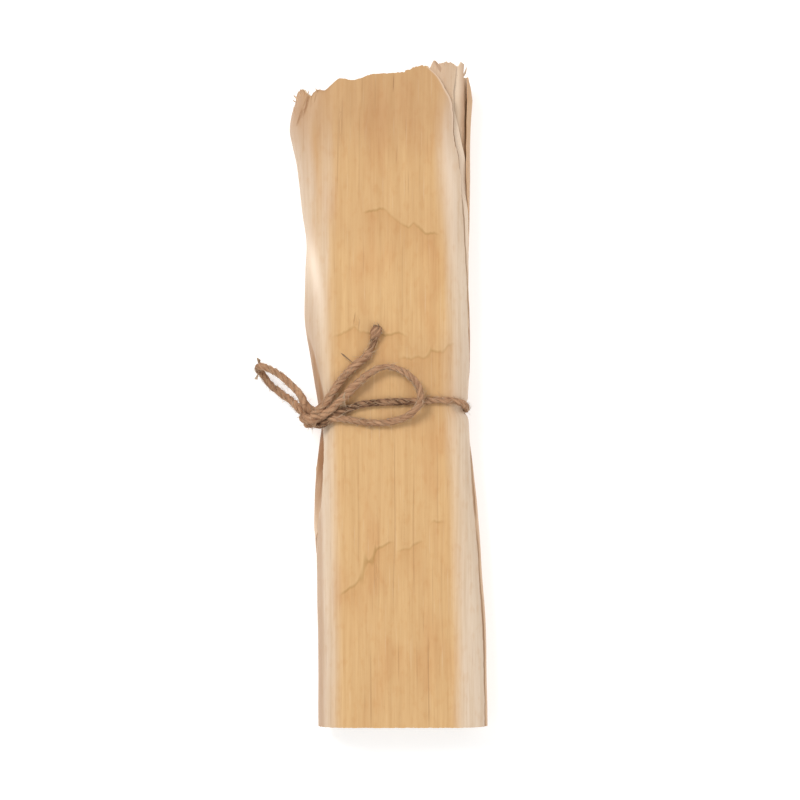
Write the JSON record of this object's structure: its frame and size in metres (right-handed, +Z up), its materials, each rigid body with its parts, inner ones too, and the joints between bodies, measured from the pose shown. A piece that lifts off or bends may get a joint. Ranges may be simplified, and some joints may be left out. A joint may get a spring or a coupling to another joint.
{
  "type": "banana bark bundle",
  "caption": "Flat bundle of dried banana leaf sheaths laid over one another, cut straight at one end and torn at the other, tied round the middle with a jute twine bow.",
  "frame": {"origin": "middle of the bark's footprint, on the surface that the bundle lies on", "axes": "+Y along the bark from the cut end to the torn end, +Z up out of the front face, +X to the right as seen from above"},
  "size_m": [0.1082, 0.3046, 0.0345],
  "materials": {
    "front_bark": "satin",
    "inner_bark": "matte",
    "core_bark": "matte",
    "back_bark": "satin",
    "jute": "matte"
  },
  "bodies": {
    "root": {"front_sheath": "front_bark", "second_sheath": "inner_bark", "third_sheath": "inner_bark", "folded_sheath": "core_bark", "core_strip": "core_bark", "inner_back_sheath": "inner_bark", "back_sheath": "back_bark", "twine_wrap": "jute", "twine_knot": "jute", "bow_loop_left": "jute", "bow_loop_right": "jute", "twine_tail": "jute"}
  },
  "joints": []
}
